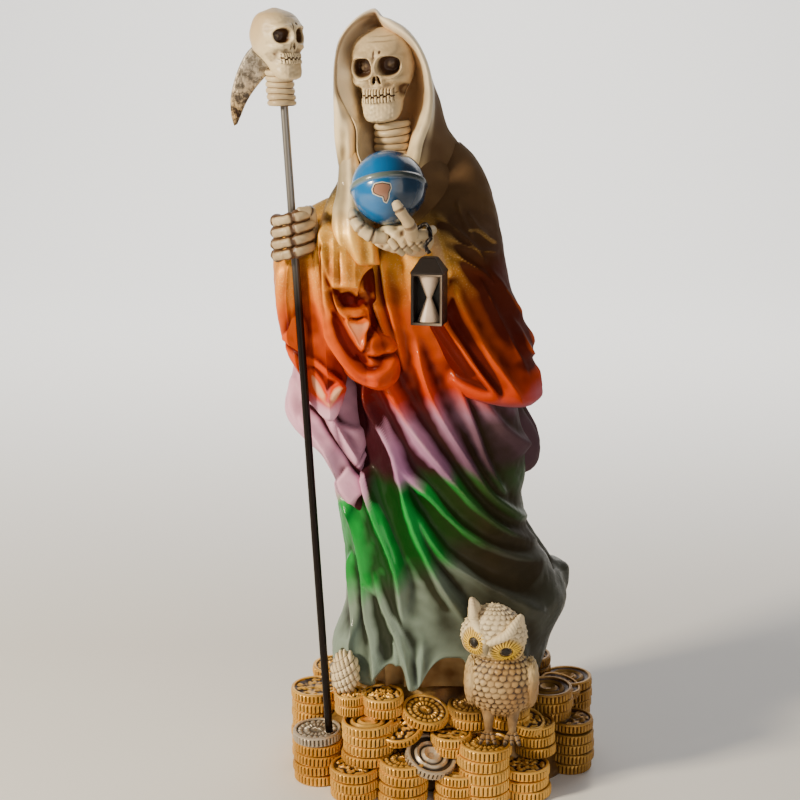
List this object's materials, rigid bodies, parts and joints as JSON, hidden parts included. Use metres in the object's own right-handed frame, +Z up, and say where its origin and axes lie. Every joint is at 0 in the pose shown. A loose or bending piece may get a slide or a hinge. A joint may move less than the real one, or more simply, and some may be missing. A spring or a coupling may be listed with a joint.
{
  "type": "santa muerte figure",
  "caption": "Painted resin statuette of a hooded skeleton in a draped robe on a mound of coins, with a globe, a tall scythe, a hanging hourglass lantern and an owl.",
  "frame": {"origin": "middle of the underside of the mound of coins, on the surface that the figure stands on", "axes": "+Z up, -Y towards the front that the figure faces, +X towards the figure's own left, the viewer's right"},
  "size_m": [0.1425, 0.1025, 0.3],
  "materials": {
    "gold_coins": "cast resin coins in gold and some silver paint, dark in the crevices",
    "painted_robe": "cast resin, sprayed in bands from white at the hood through gold, orange, purple and green to blue, under gloss varnish",
    "painted_globe": "glossy blue paint with a pale gold band and a tan land mass",
    "painted_owl": "cast resin with carved feathers, off-white and tan with yellow round the eyes",
    "dark_rod": "thin metal rod with a dark coat, brighter near the top",
    "painted_bone": "cast resin in bone paint with brown in the hollows, and a silver blade",
    "lantern_case": "dark brown case with thin pale edges and a white hourglass",
    "wire_link": "black wire, bent by hand"
  },
  "bodies": {
    "root": {"coin_base": "gold_coins", "robed_figure": "painted_robe", "globe": "painted_globe", "owl": "painted_owl", "scythe_staff": "dark_rod", "scythe_head": "painted_bone", "hourglass_lantern": "lantern_case", "hourglass_wire": "wire_link"}
  },
  "joints": []
}
